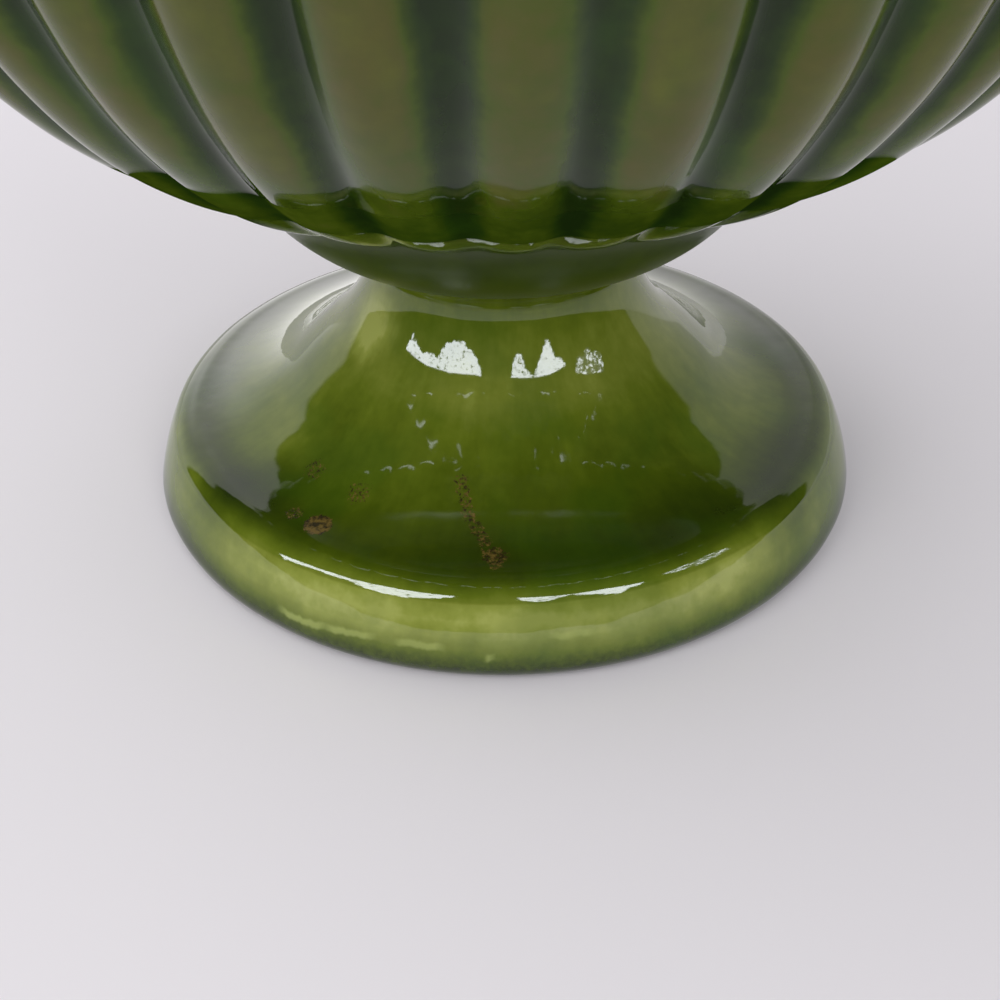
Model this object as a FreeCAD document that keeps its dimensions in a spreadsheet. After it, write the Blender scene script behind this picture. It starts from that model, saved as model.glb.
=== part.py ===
import FreeCAD, Part
import math
import os
import Sketcher
from FreeCAD import Vector

# Urn vase of glazed earthenware. Four cast pieces are luted one on top of the other:
# a hollow pedestal foot, a collar, a fluted bowl and a flared neck with a rolled lip.
# Millimetres, +Z up. The origin is the middle of the ring that the foot stands on.

SIZES = (
    # Pedestal foot: a rounded standing edge, then one cove up to a narrow waist
    ("foot_radius", 60),
    ("foot_base_round", 3.2),
    ("foot_side_round", 40),
    ("foot_edge_round", 5),
    ("foot_edge_inset", 7.6),
    ("foot_edge_height", 15),
    ("foot_rise", 25.4),
    ("waist_radius", 22),
    ("waist_round", 6.5),
    ("foot_wall", 5),
    ("foot_ring_width", 9),
    # Collar: a cup on the waist, with a cove under its rounded lower edge
    ("collar_height", 20.6),
    ("collar_cove_round", 5.4),
    ("collar_edge_radius", 28.7),
    ("collar_edge_round", 1),
    ("collar_side_round", 24.4),
    ("collar_top_radius", 42),
    ("collar_seat_width", 7),
    # Bowl: a round belly cut into upright flutes
    ("bowl_radius", 92),
    ("belly_round", 69.4),
    ("bowl_wall", 5),
    ("bowl_floor", 6),
    ("flute_count", 36),
    ("flute_depth", 3),
    ("shoulder_rise", 14),
    ("shoulder_inset", 5.5),
    ("shoulder_seat_width", 6.1),
    # Neck: a cove that flares from its waist to the rim, and a rolled lip
    ("neck_waist_inset", 6.5),
    ("neck_cove_round", 30),
    ("rim_overhang", 15.5),
    ("lip_round", 3.4),
    ("lip_set", 2.5),
)

# A flute's lobe takes this share of its pitch, and the groove takes the rest
LOBE_SHARE = 0.7

# Share of the full flute depth at even steps up the belly, from its seat to its widest line
BELLY_DEPTH_SHARES = (0.15, 0.35, 0.6, 0.85, 1, 1, 1)

# The same above the widest line, where the flutes run out under the neck
SHOULDER_DEPTH_SHARES = (0.95, 0.6, 0)

QUARTER_TURN = 90
HALF_TURN = 180
FULL_TURN = 360

# The sketcher knows a point of a line or arc by its place in the first row, and its own
# axes by their places counted back from the end of the second
ITEM_POINTS = ("whole", "start", "end", "centre")
SKETCH_AXES = ("up", "across")
START = ITEM_POINTS.index("start")
END = ITEM_POINTS.index("end")
CENTRE = ITEM_POINTS.index("centre")
UP_AXIS = SKETCH_AXES.index("up") - len(SKETCH_AXES)
ACROSS_AXIS = SKETCH_AXES.index("across") - len(SKETCH_AXES)

doc = FreeCAD.newDocument("urn_vase")
sheet = doc.addObject("Spreadsheet::Sheet", "Sizes")
for row, (alias, value) in enumerate(SIZES, start=1):
    sheet.set(f"A{row}", alias)
    sheet.set(f"B{row}", str(value))
    sheet.setAlias(f"B{row}", alias)
doc.recompute()


def size(alias):
    return float(getattr(sheet, alias))


def polar(centre, radius, degrees):
    """The point at this angle on a circle of the half section."""
    angle = math.radians(degrees)
    return Vector(centre.x + radius * math.cos(angle), centre.y + radius * math.sin(angle), 0)


def bearing(centre, point):
    return math.degrees(math.atan2(point.y - centre.y, point.x - centre.x))


def meet(centre, radius, other, other_radius, side):
    """Where two circles cross, on one side (1 or -1) of the line through their centres."""
    apart = other.sub(centre).Length
    along = (apart ** 2 + radius ** 2 - other_radius ** 2) / (2 * apart)
    spread = math.degrees(math.acos(along / radius))
    return polar(centre, radius, bearing(centre, other) + side * spread)


class Section:
    """A half section drawn on a body's own upright plane, with its sizes tied to the sheet."""

    def __init__(self, body, name):
        self.sketch = body.newObject("Sketcher::SketchObject", name)
        plane = next(f for f in body.Origin.OriginFeatures if f.Role == "XZ_Plane")
        self.sketch.AttachmentSupport = [(plane, "")]
        self.sketch.MapMode = "FlatFace"

    def line(self, start, end):
        return self.sketch.addGeometry(Part.LineSegment(start, end), False)

    def arc(self, centre, radius, start_angle, end_angle):
        circle = Part.Circle(centre, Vector(0, 0, 1), radius)
        turn = (math.radians(start_angle), math.radians(end_angle))
        return self.sketch.addGeometry(Part.ArcOfCircle(circle, *turn), False)

    def join(self, first, first_end, second, second_end):
        self.sketch.addConstraint(Sketcher.Constraint("Coincident", first, first_end, second, second_end))

    def blend(self, first, first_end, second, second_end):
        self.sketch.addConstraint(Sketcher.Constraint("Tangent", first, first_end, second, second_end))

    def level(self, line):
        self.sketch.addConstraint(Sketcher.Constraint("Horizontal", line))

    def upright(self, line):
        self.sketch.addConstraint(Sketcher.Constraint("Vertical", line))

    def above(self, first, second):
        """Keep one arc's centre straight above another's."""
        self.sketch.addConstraint(Sketcher.Constraint("Vertical", first, CENTRE, second, CENTRE))

    def tie(self, constraint, name, expression):
        index = self.sketch.addConstraint(constraint)
        self.sketch.renameConstraint(index, name)
        self.sketch.setExpression(f"Constraints.{name}", expression)

    def out(self, name, item, end, expression):
        """Set how far a point lies from the vase's axis."""
        value = self.sketch.getPoint(item, end).x
        self.tie(Sketcher.Constraint("DistanceX", ACROSS_AXIS, START, item, end, value), name, expression)

    def up(self, name, item, end, expression):
        """Set how high a point lies above the table."""
        value = self.sketch.getPoint(item, end).y
        self.tie(Sketcher.Constraint("DistanceY", ACROSS_AXIS, START, item, end, value), name, expression)

    def on_axis(self, item, end):
        self.sketch.addConstraint(Sketcher.Constraint("PointOnObject", item, end, UP_AXIS))

    def on_table(self, item, end):
        self.sketch.addConstraint(Sketcher.Constraint("PointOnObject", item, end, ACROSS_AXIS))

    def radius(self, name, item, expression):
        value = self.sketch.Geometry[item].Radius
        self.tie(Sketcher.Constraint("Radius", item, value), name, expression)


def turned_body(label):
    body = doc.addObject("PartDesign::Body", label)
    body.Label = label
    return body


def turn(body, section):
    feature = body.newObject("PartDesign::Revolution", f"{body.Label}_turned")
    feature.Profile = section.sketch
    feature.ReferenceAxis = (section.sketch, ["V_Axis"])
    feature.Angle = FULL_TURN
    section.sketch.Visibility = False
    return feature


# Heights where one piece is luted to the next, and what the pieces there share
FOOT_TOP = "Sizes.foot_edge_height + Sizes.foot_rise"
COLLAR_TOP = f"{FOOT_TOP} + Sizes.collar_height"
WAIST_BORE = "Sizes.waist_radius - Sizes.foot_wall"
BELLY_MIDDLE = "(Sizes.bowl_radius - Sizes.belly_round)"
SEAT_REACH = f"(Sizes.collar_top_radius - {BELLY_MIDDLE})"
BELLY_HEIGHT = f"{COLLAR_TOP} + sqrt(Sizes.belly_round ^ 2 - {SEAT_REACH} ^ 2)"
BOWL_TOP = f"{BELLY_HEIGHT} + Sizes.shoulder_rise"
BOWL_TOP_RADIUS = "Sizes.bowl_radius - Sizes.shoulder_inset"
NECK_WAIST = f"{BOWL_TOP_RADIUS} - Sizes.neck_waist_inset"

foot_top = size("foot_edge_height") + size("foot_rise")
collar_top = foot_top + size("collar_height")
waist_bore = size("waist_radius") - size("foot_wall")
belly_middle = size("bowl_radius") - size("belly_round")
seat_reach = size("collar_top_radius") - belly_middle
belly_height = collar_top + math.sqrt(size("belly_round") ** 2 - seat_reach ** 2)
bowl_top = belly_height + size("shoulder_rise")
bowl_top_radius = size("bowl_radius") - size("shoulder_inset")
neck_waist = bowl_top_radius - size("neck_waist_inset")


def pedestal_foot():
    """A trumpet-shaped foot, hollow underneath, that stands on a narrow ring."""
    base = size("foot_base_round")
    side = size("foot_side_round")
    edge = size("foot_edge_round")
    waist = size("waist_round")
    wall = size("foot_wall")
    edge_height = size("foot_edge_height")
    down = HALF_TURN + QUARTER_TURN

    base_middle = Vector(size("foot_radius") - base, base, 0)
    edge_middle = Vector(size("foot_radius") - size("foot_edge_inset"), edge_height - edge, 0)
    side_middle = meet(base_middle, side - base, edge_middle, side - edge, 1)
    low_angle = bearing(side_middle, base_middle)
    high_angle = bearing(side_middle, edge_middle)

    waist_middle = Vector(size("waist_radius") + waist, foot_top, 0)
    rise = size("foot_rise")
    reach = edge_middle.x - waist_middle.x
    cove = (rise ** 2 + reach ** 2 - waist ** 2) / (2 * (rise - waist))
    cove_middle = Vector(edge_middle.x, edge_height + cove, 0)
    waist_angle = bearing(cove_middle, waist_middle) % FULL_TURN
    ring_inside = size("foot_radius") - size("foot_ring_width")
    inner_cove = cove + wall
    ring_angle = down - math.degrees(math.asin((edge_middle.x - ring_inside) / inner_cove))
    ring_top = polar(cove_middle, inner_cove, ring_angle)
    waist_corner = Vector(size("waist_radius"), foot_top, 0)
    bore_corner = Vector(waist_bore, foot_top, 0)

    body = turned_body("pedestal_foot")
    half = Section(body, "foot_section")
    base_arc = half.arc(base_middle, base, -QUARTER_TURN, low_angle)
    side_arc = half.arc(side_middle, side, low_angle, high_angle)
    edge_arc = half.arc(edge_middle, edge, high_angle, QUARTER_TURN)
    cove_arc = half.arc(cove_middle, cove, waist_angle, down)
    waist_arc = half.arc(waist_middle, waist, HALF_TURN, waist_angle)
    seat = half.line(waist_corner, bore_corner)
    inner_waist = half.arc(waist_middle, waist + wall, HALF_TURN, waist_angle)
    inner_cove_arc = half.arc(cove_middle, inner_cove, waist_angle, ring_angle)
    ring_wall = half.line(ring_top, Vector(ring_inside, 0, 0))
    ring = half.line(Vector(ring_inside, 0, 0), Vector(base_middle.x, 0, 0))

    half.blend(ring, END, base_arc, START)
    half.blend(base_arc, END, side_arc, START)
    half.blend(side_arc, END, edge_arc, START)
    half.blend(edge_arc, END, cove_arc, END)
    half.blend(cove_arc, START, waist_arc, END)
    half.join(waist_arc, START, seat, START)
    half.join(seat, END, inner_waist, START)
    half.blend(inner_waist, END, inner_cove_arc, START)
    half.join(inner_cove_arc, END, ring_wall, START)
    half.join(ring_wall, END, ring, START)
    half.join(inner_waist, CENTRE, waist_arc, CENTRE)
    half.join(inner_cove_arc, CENTRE, cove_arc, CENTRE)
    half.above(edge_arc, cove_arc)
    half.level(seat)
    half.upright(ring_wall)
    half.on_table(ring, START)
    half.on_table(ring, END)

    half.radius("base_round", base_arc, "Sizes.foot_base_round")
    half.out("base_middle_out", base_arc, CENTRE, "Sizes.foot_radius - Sizes.foot_base_round")
    half.radius("side_round", side_arc, "Sizes.foot_side_round")
    half.radius("edge_round", edge_arc, "Sizes.foot_edge_round")
    half.out("edge_middle_out", edge_arc, CENTRE, "Sizes.foot_radius - Sizes.foot_edge_inset")
    half.up("edge_top", edge_arc, END, "Sizes.foot_edge_height")
    half.radius("waist_round", waist_arc, "Sizes.waist_round")
    half.out("waist_middle_out", waist_arc, CENTRE, "Sizes.waist_radius + Sizes.waist_round")
    half.up("waist_middle_up", waist_arc, CENTRE, FOOT_TOP)
    half.up("seat_up", seat, START, FOOT_TOP)
    half.radius("inner_waist_round", inner_waist, "Sizes.waist_round + Sizes.foot_wall")
    half.out("ring_inside_out", ring, START, "Sizes.foot_radius - Sizes.foot_ring_width")
    turn(body, half)
    return body


def collar():
    """A hollow cup between the waist and the bowl, with a cove under its lower edge."""
    cove = size("collar_cove_round")
    edge = size("collar_edge_round")
    side = size("collar_side_round")
    cove_middle = Vector(size("waist_radius") + cove, foot_top, 0)
    under_height = foot_top + cove
    edge_middle = Vector(size("collar_edge_radius") - edge, under_height + edge, 0)
    top_corner = Vector(size("collar_top_radius"), collar_top, 0)
    side_middle = meet(edge_middle, side - edge, top_corner, side, 1)
    edge_angle = bearing(side_middle, edge_middle)
    inner_top = Vector(size("collar_top_radius") - size("collar_seat_width"), collar_top, 0)
    bore_corner = Vector(waist_bore, foot_top, 0)
    bore_top = Vector(waist_bore, under_height, 0)

    body = turned_body("collar")
    half = Section(body, "collar_section")
    seat = half.line(bore_corner, Vector(size("waist_radius"), foot_top, 0))
    cove_arc = half.arc(cove_middle, cove, QUARTER_TURN, HALF_TURN)
    under = half.line(Vector(cove_middle.x, under_height, 0), Vector(edge_middle.x, under_height, 0))
    edge_arc = half.arc(edge_middle, edge, -QUARTER_TURN, edge_angle)
    side_arc = half.arc(side_middle, side, edge_angle, bearing(side_middle, top_corner))
    bowl_seat = half.line(top_corner, inner_top)
    inner_cone = half.line(inner_top, bore_top)
    bore = half.line(bore_top, bore_corner)

    half.join(seat, END, cove_arc, END)
    half.blend(cove_arc, START, under, START)
    half.blend(under, END, edge_arc, START)
    half.blend(edge_arc, END, side_arc, START)
    half.join(side_arc, END, bowl_seat, START)
    half.join(bowl_seat, END, inner_cone, START)
    half.join(inner_cone, END, bore, START)
    half.join(bore, END, seat, START)
    half.level(seat)
    half.level(under)
    half.level(bowl_seat)
    half.upright(bore)

    half.out("bore_out", seat, START, WAIST_BORE)
    half.up("seat_up", seat, START, FOOT_TOP)
    half.radius("cove_round", cove_arc, "Sizes.collar_cove_round")
    half.out("cove_middle_out", cove_arc, CENTRE, "Sizes.waist_radius + Sizes.collar_cove_round")
    half.up("cove_middle_up", cove_arc, CENTRE, FOOT_TOP)
    half.up("bore_top_up", bore, START, f"{FOOT_TOP} + Sizes.collar_cove_round")
    half.radius("edge_round", edge_arc, "Sizes.collar_edge_round")
    half.out("edge_out", edge_arc, CENTRE, "Sizes.collar_edge_radius - Sizes.collar_edge_round")
    half.radius("side_round", side_arc, "Sizes.collar_side_round")
    half.out("top_out", side_arc, END, "Sizes.collar_top_radius")
    half.up("top_up", side_arc, END, COLLAR_TOP)
    half.out("inner_top_out", bowl_seat, END, "Sizes.collar_top_radius - Sizes.collar_seat_width")
    turn(body, half)
    return body


def fluted_ring(crest, height, depth):
    """A level outline of convex lobes with narrow round grooves between them."""
    count = int(size("flute_count"))
    half_pitch = math.pi / count
    half_lobe = half_pitch * LOBE_SHARE
    groove = crest - depth
    shoulder = groove * LOBE_SHARE + crest * (1 - LOBE_SHARE)

    def point(radius, angle):
        return Vector(radius * math.sin(angle), -radius * math.cos(angle), height)

    edges = []
    for number in range(count):
        middle = 2 * half_pitch * number
        lobe_start = point(shoulder, middle - half_lobe)
        lobe_end = point(shoulder, middle + half_lobe)
        next_lobe = point(shoulder, middle + 2 * half_pitch - half_lobe)
        edges.append(Part.Arc(lobe_start, point(crest, middle), lobe_end).toShape())
        edges.append(Part.Arc(lobe_end, point(groove, middle + half_pitch), next_lobe).toShape())
    return Part.Wire(edges)


def fluted_skin():
    """The bowl's outside: fluted rings up a round belly and in over a shoulder."""
    rings = []
    depth = size("flute_depth")
    belly = size("belly_round")
    seat_angle = math.acos(seat_reach / belly)
    steps = len(BELLY_DEPTH_SHARES) - 1
    for step, share in enumerate(BELLY_DEPTH_SHARES):
        angle = seat_angle * (1 - step / steps)
        crest = belly_middle + belly * math.cos(angle)
        rings.append(fluted_ring(crest, belly_height - belly * math.sin(angle), depth * share))
    for step, share in enumerate(SHOULDER_DEPTH_SHARES, start=1):
        rise = step / len(SHOULDER_DEPTH_SHARES)
        crest = size("bowl_radius") - size("shoulder_inset") * rise ** 2
        rings.append(fluted_ring(crest, belly_height + size("shoulder_rise") * rise, depth * share))

    outlines = []
    for number, ring in enumerate(rings):
        outline = doc.addObject("Part::Feature", f"flute_outline_{number}")
        outline.Shape = ring
        outlines.append(outline)
    skin = doc.addObject("Part::Loft", "fluted_skin")
    skin.Sections = outlines
    skin.Solid = True
    skin.Ruled = False
    return skin


def bowl_hollow():
    """The smooth inside of the bowl, from its floor up to the neck's seat."""
    inner_radius = size("bowl_radius") - size("flute_depth") - size("bowl_wall")
    floor = collar_top + size("bowl_floor")
    round_inside = belly_height - floor
    middle = Vector(inner_radius - round_inside, belly_height, 0)
    top_radius = bowl_top_radius - size("shoulder_seat_width")
    inset = inner_radius - top_radius
    shoulder_round = (size("shoulder_rise") ** 2 + inset ** 2) / (2 * inset)
    shoulder_middle = Vector(inner_radius - shoulder_round, belly_height, 0)
    top_corner = Vector(top_radius, bowl_top, 0)

    body = turned_body("bowl_hollow")
    half = Section(body, "hollow_section")
    axis = half.line(Vector(0, bowl_top, 0), Vector(0, floor, 0))
    floor_line = half.line(Vector(0, floor, 0), Vector(middle.x, floor, 0))
    belly_arc = half.arc(middle, round_inside, HALF_TURN + QUARTER_TURN, FULL_TURN)
    shoulder_arc = half.arc(shoulder_middle, shoulder_round, 0, bearing(shoulder_middle, top_corner))
    mouth = half.line(top_corner, Vector(0, bowl_top, 0))

    half.join(axis, END, floor_line, START)
    half.blend(floor_line, END, belly_arc, START)
    half.blend(belly_arc, END, shoulder_arc, START)
    half.join(shoulder_arc, END, mouth, START)
    half.join(mouth, END, axis, START)
    half.level(floor_line)
    half.level(mouth)
    half.on_axis(axis, START)
    half.on_axis(axis, END)

    inner_out = "Sizes.bowl_radius - Sizes.flute_depth - Sizes.bowl_wall"
    half.up("floor_up", axis, END, f"{COLLAR_TOP} + Sizes.bowl_floor")
    half.out("widest_out", belly_arc, END, inner_out)
    half.up("widest_up", belly_arc, END, BELLY_HEIGHT)
    half.up("belly_middle_up", belly_arc, CENTRE, BELLY_HEIGHT)
    half.out("mouth_out", mouth, START, f"{BOWL_TOP_RADIUS} - Sizes.shoulder_seat_width")
    half.up("mouth_up", mouth, START, BOWL_TOP)
    turn(body, half)
    return body


def fluted_bowl():
    """A round bowl with upright flutes outside and a smooth inside, open at the top."""
    bowl = doc.addObject("Part::Cut", "fluted_bowl")
    bowl.Label = "fluted_bowl"
    bowl.Base = fluted_skin()
    bowl.Tool = bowl_hollow()
    return bowl


def flared_neck():
    """A coved neck on the bowl's shoulder that flares to a rim with a rolled lip."""
    cove = size("neck_cove_round")
    lip = size("lip_round")
    inset = size("neck_waist_inset")
    middle = Vector(neck_waist + cove, bowl_top + math.sqrt(2 * inset * cove - inset ** 2), 0)
    outer_corner = Vector(bowl_top_radius, bowl_top, 0)
    inner_corner = Vector(bowl_top_radius - size("shoulder_seat_width"), bowl_top, 0)
    inner_cove = inner_corner.sub(middle).Length
    lip_reach = cove + size("lip_set")
    lip_angle = math.acos((cove - size("rim_overhang") + lip) / lip_reach)
    lip_middle = polar(middle, lip_reach, HALF_TURN - math.degrees(lip_angle))
    outer_end = meet(middle, cove, lip_middle, lip, 1)
    inner_end = meet(middle, inner_cove, lip_middle, lip, 1)

    body = turned_body("flared_neck")
    half = Section(body, "neck_section")
    seat = half.line(inner_corner, outer_corner)
    cove_arc = half.arc(middle, cove, bearing(middle, outer_end), FULL_TURN + bearing(middle, outer_corner))
    lip_start = bearing(lip_middle, outer_end)
    lip_end = bearing(lip_middle, inner_end)
    lip_arc = half.arc(lip_middle, lip, lip_start, FULL_TURN + lip_end)
    inner_arc = half.arc(middle, inner_cove, bearing(middle, inner_end),
                         FULL_TURN + bearing(middle, inner_corner))

    half.join(seat, END, cove_arc, END)
    half.join(cove_arc, START, lip_arc, START)
    half.join(lip_arc, END, inner_arc, START)
    half.join(inner_arc, END, seat, START)
    half.join(inner_arc, CENTRE, cove_arc, CENTRE)
    half.level(seat)

    half.out("seat_out", seat, END, BOWL_TOP_RADIUS)
    half.up("seat_up", seat, END, BOWL_TOP)
    half.out("seat_in", seat, START, f"{BOWL_TOP_RADIUS} - Sizes.shoulder_seat_width")
    half.radius("cove_round", cove_arc, "Sizes.neck_cove_round")
    half.out("cove_out", cove_arc, CENTRE, f"{NECK_WAIST} + Sizes.neck_cove_round")
    half.radius("lip_round", lip_arc, "Sizes.lip_round")
    half.out("lip_out", lip_arc, CENTRE, f"{NECK_WAIST} + Sizes.rim_overhang - Sizes.lip_round")
    reach = Sketcher.Constraint("Distance", cove_arc, CENTRE, lip_arc, CENTRE, lip_reach)
    half.tie(reach, "lip_reach", "Sizes.neck_cove_round + Sizes.lip_set")
    turn(body, half)
    return body


pieces = [pedestal_foot(), collar(), fluted_bowl(), flared_neck()]
doc.recompute()

for item in doc.Objects:
    if "Invalid" in item.State or "Error" in item.State:
        raise SystemExit(f"{item.Label} did not build: {item.State}")
for piece in pieces:
    shape = piece.Shape
    if shape.isNull() or not shape.isValid() or len(shape.Solids) != 1:
        raise SystemExit(f"{piece.Label} is not one valid solid")

os.makedirs("parts", exist_ok=True)
for piece in pieces:
    piece.Shape.exportStep(f"parts/{piece.Label}.step")
    print(f"{piece.Label}: {piece.Shape.Volume:.0f} mm3, {len(piece.Shape.Faces)} faces")
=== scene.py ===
import math
import bmesh
import bpy
from mathutils import Matrix, Vector, noise


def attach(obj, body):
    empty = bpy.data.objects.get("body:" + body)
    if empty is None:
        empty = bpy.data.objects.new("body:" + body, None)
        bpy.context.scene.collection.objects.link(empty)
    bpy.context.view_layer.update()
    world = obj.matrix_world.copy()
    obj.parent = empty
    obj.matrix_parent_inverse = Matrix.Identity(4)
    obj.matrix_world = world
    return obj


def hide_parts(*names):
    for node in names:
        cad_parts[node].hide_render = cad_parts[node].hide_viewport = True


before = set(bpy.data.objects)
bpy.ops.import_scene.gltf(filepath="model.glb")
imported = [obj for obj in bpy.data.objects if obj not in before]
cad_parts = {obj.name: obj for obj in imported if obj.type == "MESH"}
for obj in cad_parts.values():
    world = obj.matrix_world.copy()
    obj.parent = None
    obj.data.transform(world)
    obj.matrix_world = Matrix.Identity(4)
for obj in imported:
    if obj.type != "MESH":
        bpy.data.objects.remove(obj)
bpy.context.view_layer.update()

# Profiles are worked out in millimetres as (distance from the axis, height) and meshed in metres
MM = 0.001
# Points closer than this many millimetres count as one
NEAR = 0.01

FOOT_RADIUS = 60
FOOT_BASE_ROUND = 3.2
FOOT_SIDE_ROUND = 40
FOOT_EDGE_ROUND = 5
FOOT_EDGE_INSET = 7.6
FOOT_EDGE_HEIGHT = 15
FOOT_RISE = 25.4
FOOT_WALL = 5
FOOT_RING_WIDTH = 9
WAIST_RADIUS = 22
WAIST_ROUND = 6.5
COLLAR_HEIGHT = 20.6
COLLAR_COVE_ROUND = 5.4
COLLAR_EDGE_RADIUS = 28.7
COLLAR_EDGE_ROUND = 1
COLLAR_SIDE_ROUND = 24.4
COLLAR_TOP_RADIUS = 42
COLLAR_SEAT_WIDTH = 7
BOWL_RADIUS = 92
BELLY_ROUND = 69.4
BOWL_WALL = 5
BOWL_FLOOR = 6
FLUTE_COUNT = 36
FLUTE_DEPTH = 3
SHOULDER_RISE = 14
SHOULDER_INSET = 5.5
SHOULDER_SEAT_WIDTH = 6.1
NECK_WAIST_INSET = 6.5
NECK_COVE_ROUND = 30
RIM_OVERHANG = 15.5
LIP_ROUND = 3.4
LIP_SET = 2.5
LOBE_SHARE = 0.7
BELLY_DEPTH_SHARES = (0.15, 0.35, 0.6, 0.85, 1, 1, 1)
SHOULDER_DEPTH_SHARES = (1, 0.95, 0.6, 0)
SHOULDER_STEPS = 14

FOOT_TOP = FOOT_EDGE_HEIGHT + FOOT_RISE
COLLAR_TOP = FOOT_TOP + COLLAR_HEIGHT
WAIST_BORE = WAIST_RADIUS - FOOT_WALL
BELLY_MIDDLE = BOWL_RADIUS - BELLY_ROUND
SEAT_REACH = COLLAR_TOP_RADIUS - BELLY_MIDDLE
BELLY_HEIGHT = COLLAR_TOP + math.sqrt(BELLY_ROUND ** 2 - SEAT_REACH ** 2)
BOWL_TOP = BELLY_HEIGHT + SHOULDER_RISE
BOWL_TOP_RADIUS = BOWL_RADIUS - SHOULDER_INSET
NECK_WAIST = BOWL_TOP_RADIUS - NECK_WAIST_INSET


def polar(centre, radius, degrees):
    angle = math.radians(degrees)
    return (centre[0] + radius * math.cos(angle), centre[1] + radius * math.sin(angle))


def bearing(centre, point):
    return math.degrees(math.atan2(point[1] - centre[1], point[0] - centre[0]))


def meet(centre, radius, other, other_radius, side):
    """Where two circles cross, on one side of the line through their centres."""
    apart = math.dist(centre, other)
    along = (apart ** 2 + radius ** 2 - other_radius ** 2) / (2 * apart)
    spread = math.degrees(math.acos(along / radius))
    return polar(centre, radius, bearing(centre, other) + side * spread)


def arc(centre, radius, start, end, steps):
    return [polar(centre, radius, start + (end - start) * i / steps) for i in range(steps + 1)]


def line(start, end, steps):
    return [(start[0] + (end[0] - start[0]) * i / steps, start[1] + (end[1] - start[1]) * i / steps)
            for i in range(steps + 1)]


def chain(*runs):
    """Join runs of points end to end, without doubled points."""
    points = []
    for run in runs:
        for point in run:
            if not points or math.dist(points[-1], point) > NEAR:
                points.append(point)
    if math.dist(points[0], points[-1]) < NEAR:
        points.pop()
    return points


def blend_keys(keys, value):
    """Read a row of (place, amount) keys at a value, straight between its keys."""
    if value <= keys[0][0]:
        return keys[0][1]
    for (low, first), (high, second) in zip(keys, keys[1:]):
        if value <= high:
            return first + (second - first) * (value - low) / (high - low)
    return keys[-1][1]


# The photo's reflections show the foot's cove as two rounds with a short straight run between
# them, which lies up to 1.4 mm proud of the solid's one round
VALLEY_ROUND = 25
FLARE_ROUND = 23.6
WAIST_LEAN = 15.2
FLARE_SLOPE = 42.8


def foot_profile():
    base_middle = (FOOT_RADIUS - FOOT_BASE_ROUND, FOOT_BASE_ROUND)
    edge_middle = (FOOT_RADIUS - FOOT_EDGE_INSET, FOOT_EDGE_HEIGHT - FOOT_EDGE_ROUND)
    side_middle = meet(base_middle, FOOT_SIDE_ROUND - FOOT_BASE_ROUND,
                       edge_middle, FOOT_SIDE_ROUND - FOOT_EDGE_ROUND, 1)
    low = bearing(side_middle, base_middle)
    high = bearing(side_middle, edge_middle)
    waist_middle = (WAIST_RADIUS + WAIST_ROUND, FOOT_TOP)
    reach = edge_middle[0] - waist_middle[0]
    cove = (FOOT_RISE ** 2 + reach ** 2 - WAIST_ROUND ** 2) / (2 * (FOOT_RISE - WAIST_ROUND))
    cove_middle = (edge_middle[0], FOOT_EDGE_HEIGHT + cove)
    lean = bearing(cove_middle, waist_middle) % 360
    valley = arc((edge_middle[0], FOOT_EDGE_HEIGHT + VALLEY_ROUND), VALLEY_ROUND,
                 270, 270 - FLARE_SLOPE, steps=30)
    flare_middle = polar(waist_middle, FLARE_ROUND - WAIST_ROUND, WAIST_LEAN)
    flare = arc(flare_middle, FLARE_ROUND, 270 - FLARE_SLOPE, 180 + WAIST_LEAN, steps=24)
    ring_inside = FOOT_RADIUS - FOOT_RING_WIDTH
    inner = cove + FOOT_WALL
    ring_angle = 270 - math.degrees(math.asin((edge_middle[0] - ring_inside) / inner))
    return chain(
        line((ring_inside, 0), (base_middle[0], 0), steps=6),
        arc(base_middle, FOOT_BASE_ROUND, -90, low, steps=10),
        arc(side_middle, FOOT_SIDE_ROUND, low, high, steps=14),
        arc(edge_middle, FOOT_EDGE_ROUND, high, 90, steps=14),
        valley,
        line(valley[-1], flare[0], steps=12),
        flare,
        arc(waist_middle, WAIST_ROUND, 180 + WAIST_LEAN, 180, steps=6),
        line((WAIST_RADIUS, FOOT_TOP), (WAIST_BORE, FOOT_TOP), steps=2),
        arc(waist_middle, WAIST_ROUND + FOOT_WALL, 180, lean, steps=5),
        arc(cove_middle, inner, lean, ring_angle, steps=30),
        line(polar(cove_middle, inner, ring_angle), (ring_inside, 0), steps=5))


def collar_profile():
    cove_middle = (WAIST_RADIUS + COLLAR_COVE_ROUND, FOOT_TOP)
    under = FOOT_TOP + COLLAR_COVE_ROUND
    edge_middle = (COLLAR_EDGE_RADIUS - COLLAR_EDGE_ROUND, under + COLLAR_EDGE_ROUND)
    top_corner = (COLLAR_TOP_RADIUS, COLLAR_TOP)
    side_middle = meet(edge_middle, COLLAR_SIDE_ROUND - COLLAR_EDGE_ROUND, top_corner, COLLAR_SIDE_ROUND, 1)
    low = bearing(side_middle, edge_middle)
    inner_top = (COLLAR_TOP_RADIUS - COLLAR_SEAT_WIDTH, COLLAR_TOP)
    return chain(
        line((WAIST_BORE, FOOT_TOP), (WAIST_RADIUS, FOOT_TOP), steps=2),
        arc(cove_middle, COLLAR_COVE_ROUND, 180, 90, steps=14),
        line((cove_middle[0], under), (edge_middle[0], under), steps=1),
        arc(edge_middle, COLLAR_EDGE_ROUND, -90, low, steps=6),
        arc(side_middle, COLLAR_SIDE_ROUND, low, bearing(side_middle, top_corner), steps=26),
        line(top_corner, inner_top, steps=3),
        line(inner_top, (WAIST_BORE, under), steps=8),
        line((WAIST_BORE, under), (WAIST_BORE, FOOT_TOP), steps=3))


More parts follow.
